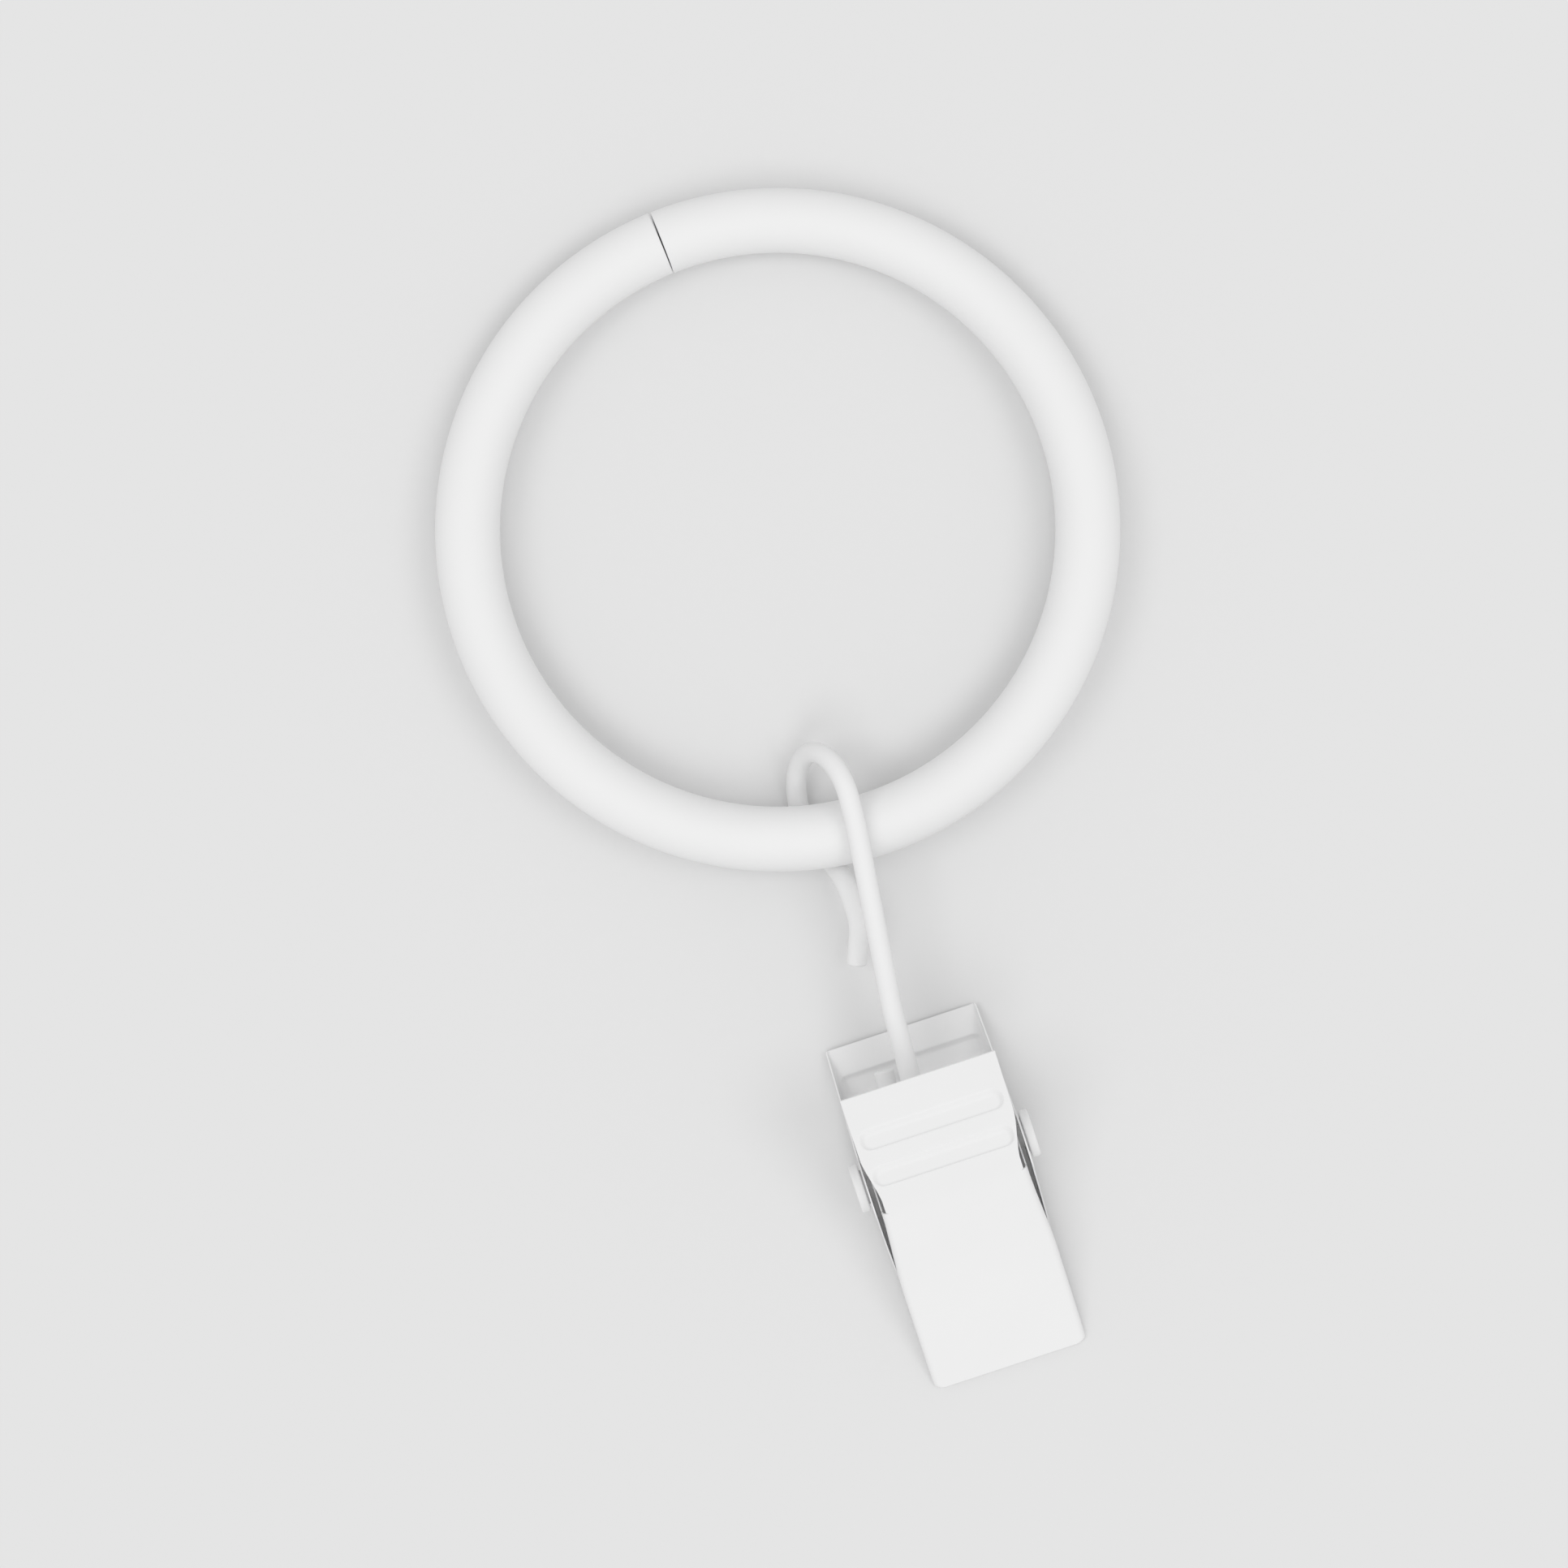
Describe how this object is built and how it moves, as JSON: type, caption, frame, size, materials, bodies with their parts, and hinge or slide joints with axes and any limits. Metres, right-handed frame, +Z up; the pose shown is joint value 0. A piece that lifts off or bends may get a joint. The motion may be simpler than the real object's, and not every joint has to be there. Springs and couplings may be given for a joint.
{
  "type": "curtain ring with clip",
  "caption": "Round steel curtain ring with a question-mark wire hook that carries a spring clip of two folded, beaded sheet leaves on a riveted pin.",
  "frame": {"origin": "centre of the ring's round opening; the ring, hook and clip lie on a flat surface 3.04 mm below it", "axes": "+X right, +Y away from the clip, +Z up out of the surface that the ring lies on"},
  "size_m": [0.0468, 0.0825, 0.012],
  "materials": {
    "coated_ring": "matt white powder coat",
    "coated_wire": "matt white powder coat",
    "coated_sheet": "matt white powder coat",
    "coated_pin": "matt white powder coat",
    "coated_spring": "matt white powder coat"
  },
  "bodies": {
    "ring": {"curtain_ring": "coated_ring"},
    "hook": {"wire_hook": "coated_wire"},
    "clip": {"clip_back": "coated_sheet", "pivot_pin": "coated_pin", "jaw_spring": "coated_spring"},
    "front_leaf": {"clip_front": "coated_sheet"}
  },
  "joints": [
    {"name": "hook_swing", "type": "hinge", "parent": "ring", "child": "hook", "pos_m": [0.00372, -0.02088, 0.00081], "axis": [0.9845, 0.1754, 0], "range_deg": [-150, 150]},
    {"name": "clip_swing", "type": "hinge", "parent": "hook", "child": "clip", "pos_m": [0.0114, -0.04315, 0.00105], "axis": [0.95, 0.3123, 0], "range_deg": [-12, 8]},
    {"name": "jaw_open", "type": "hinge", "parent": "clip", "child": "front_leaf", "pos_m": [0.0114, -0.04315, 0.00105], "axis": [-0.95, -0.3123, 0], "range_deg": [0, 20], "stiffness_Nm_per_rad": 0.0104, "springref_deg": -85.94, "deforming": ["jaw_spring"]}
  ]
}
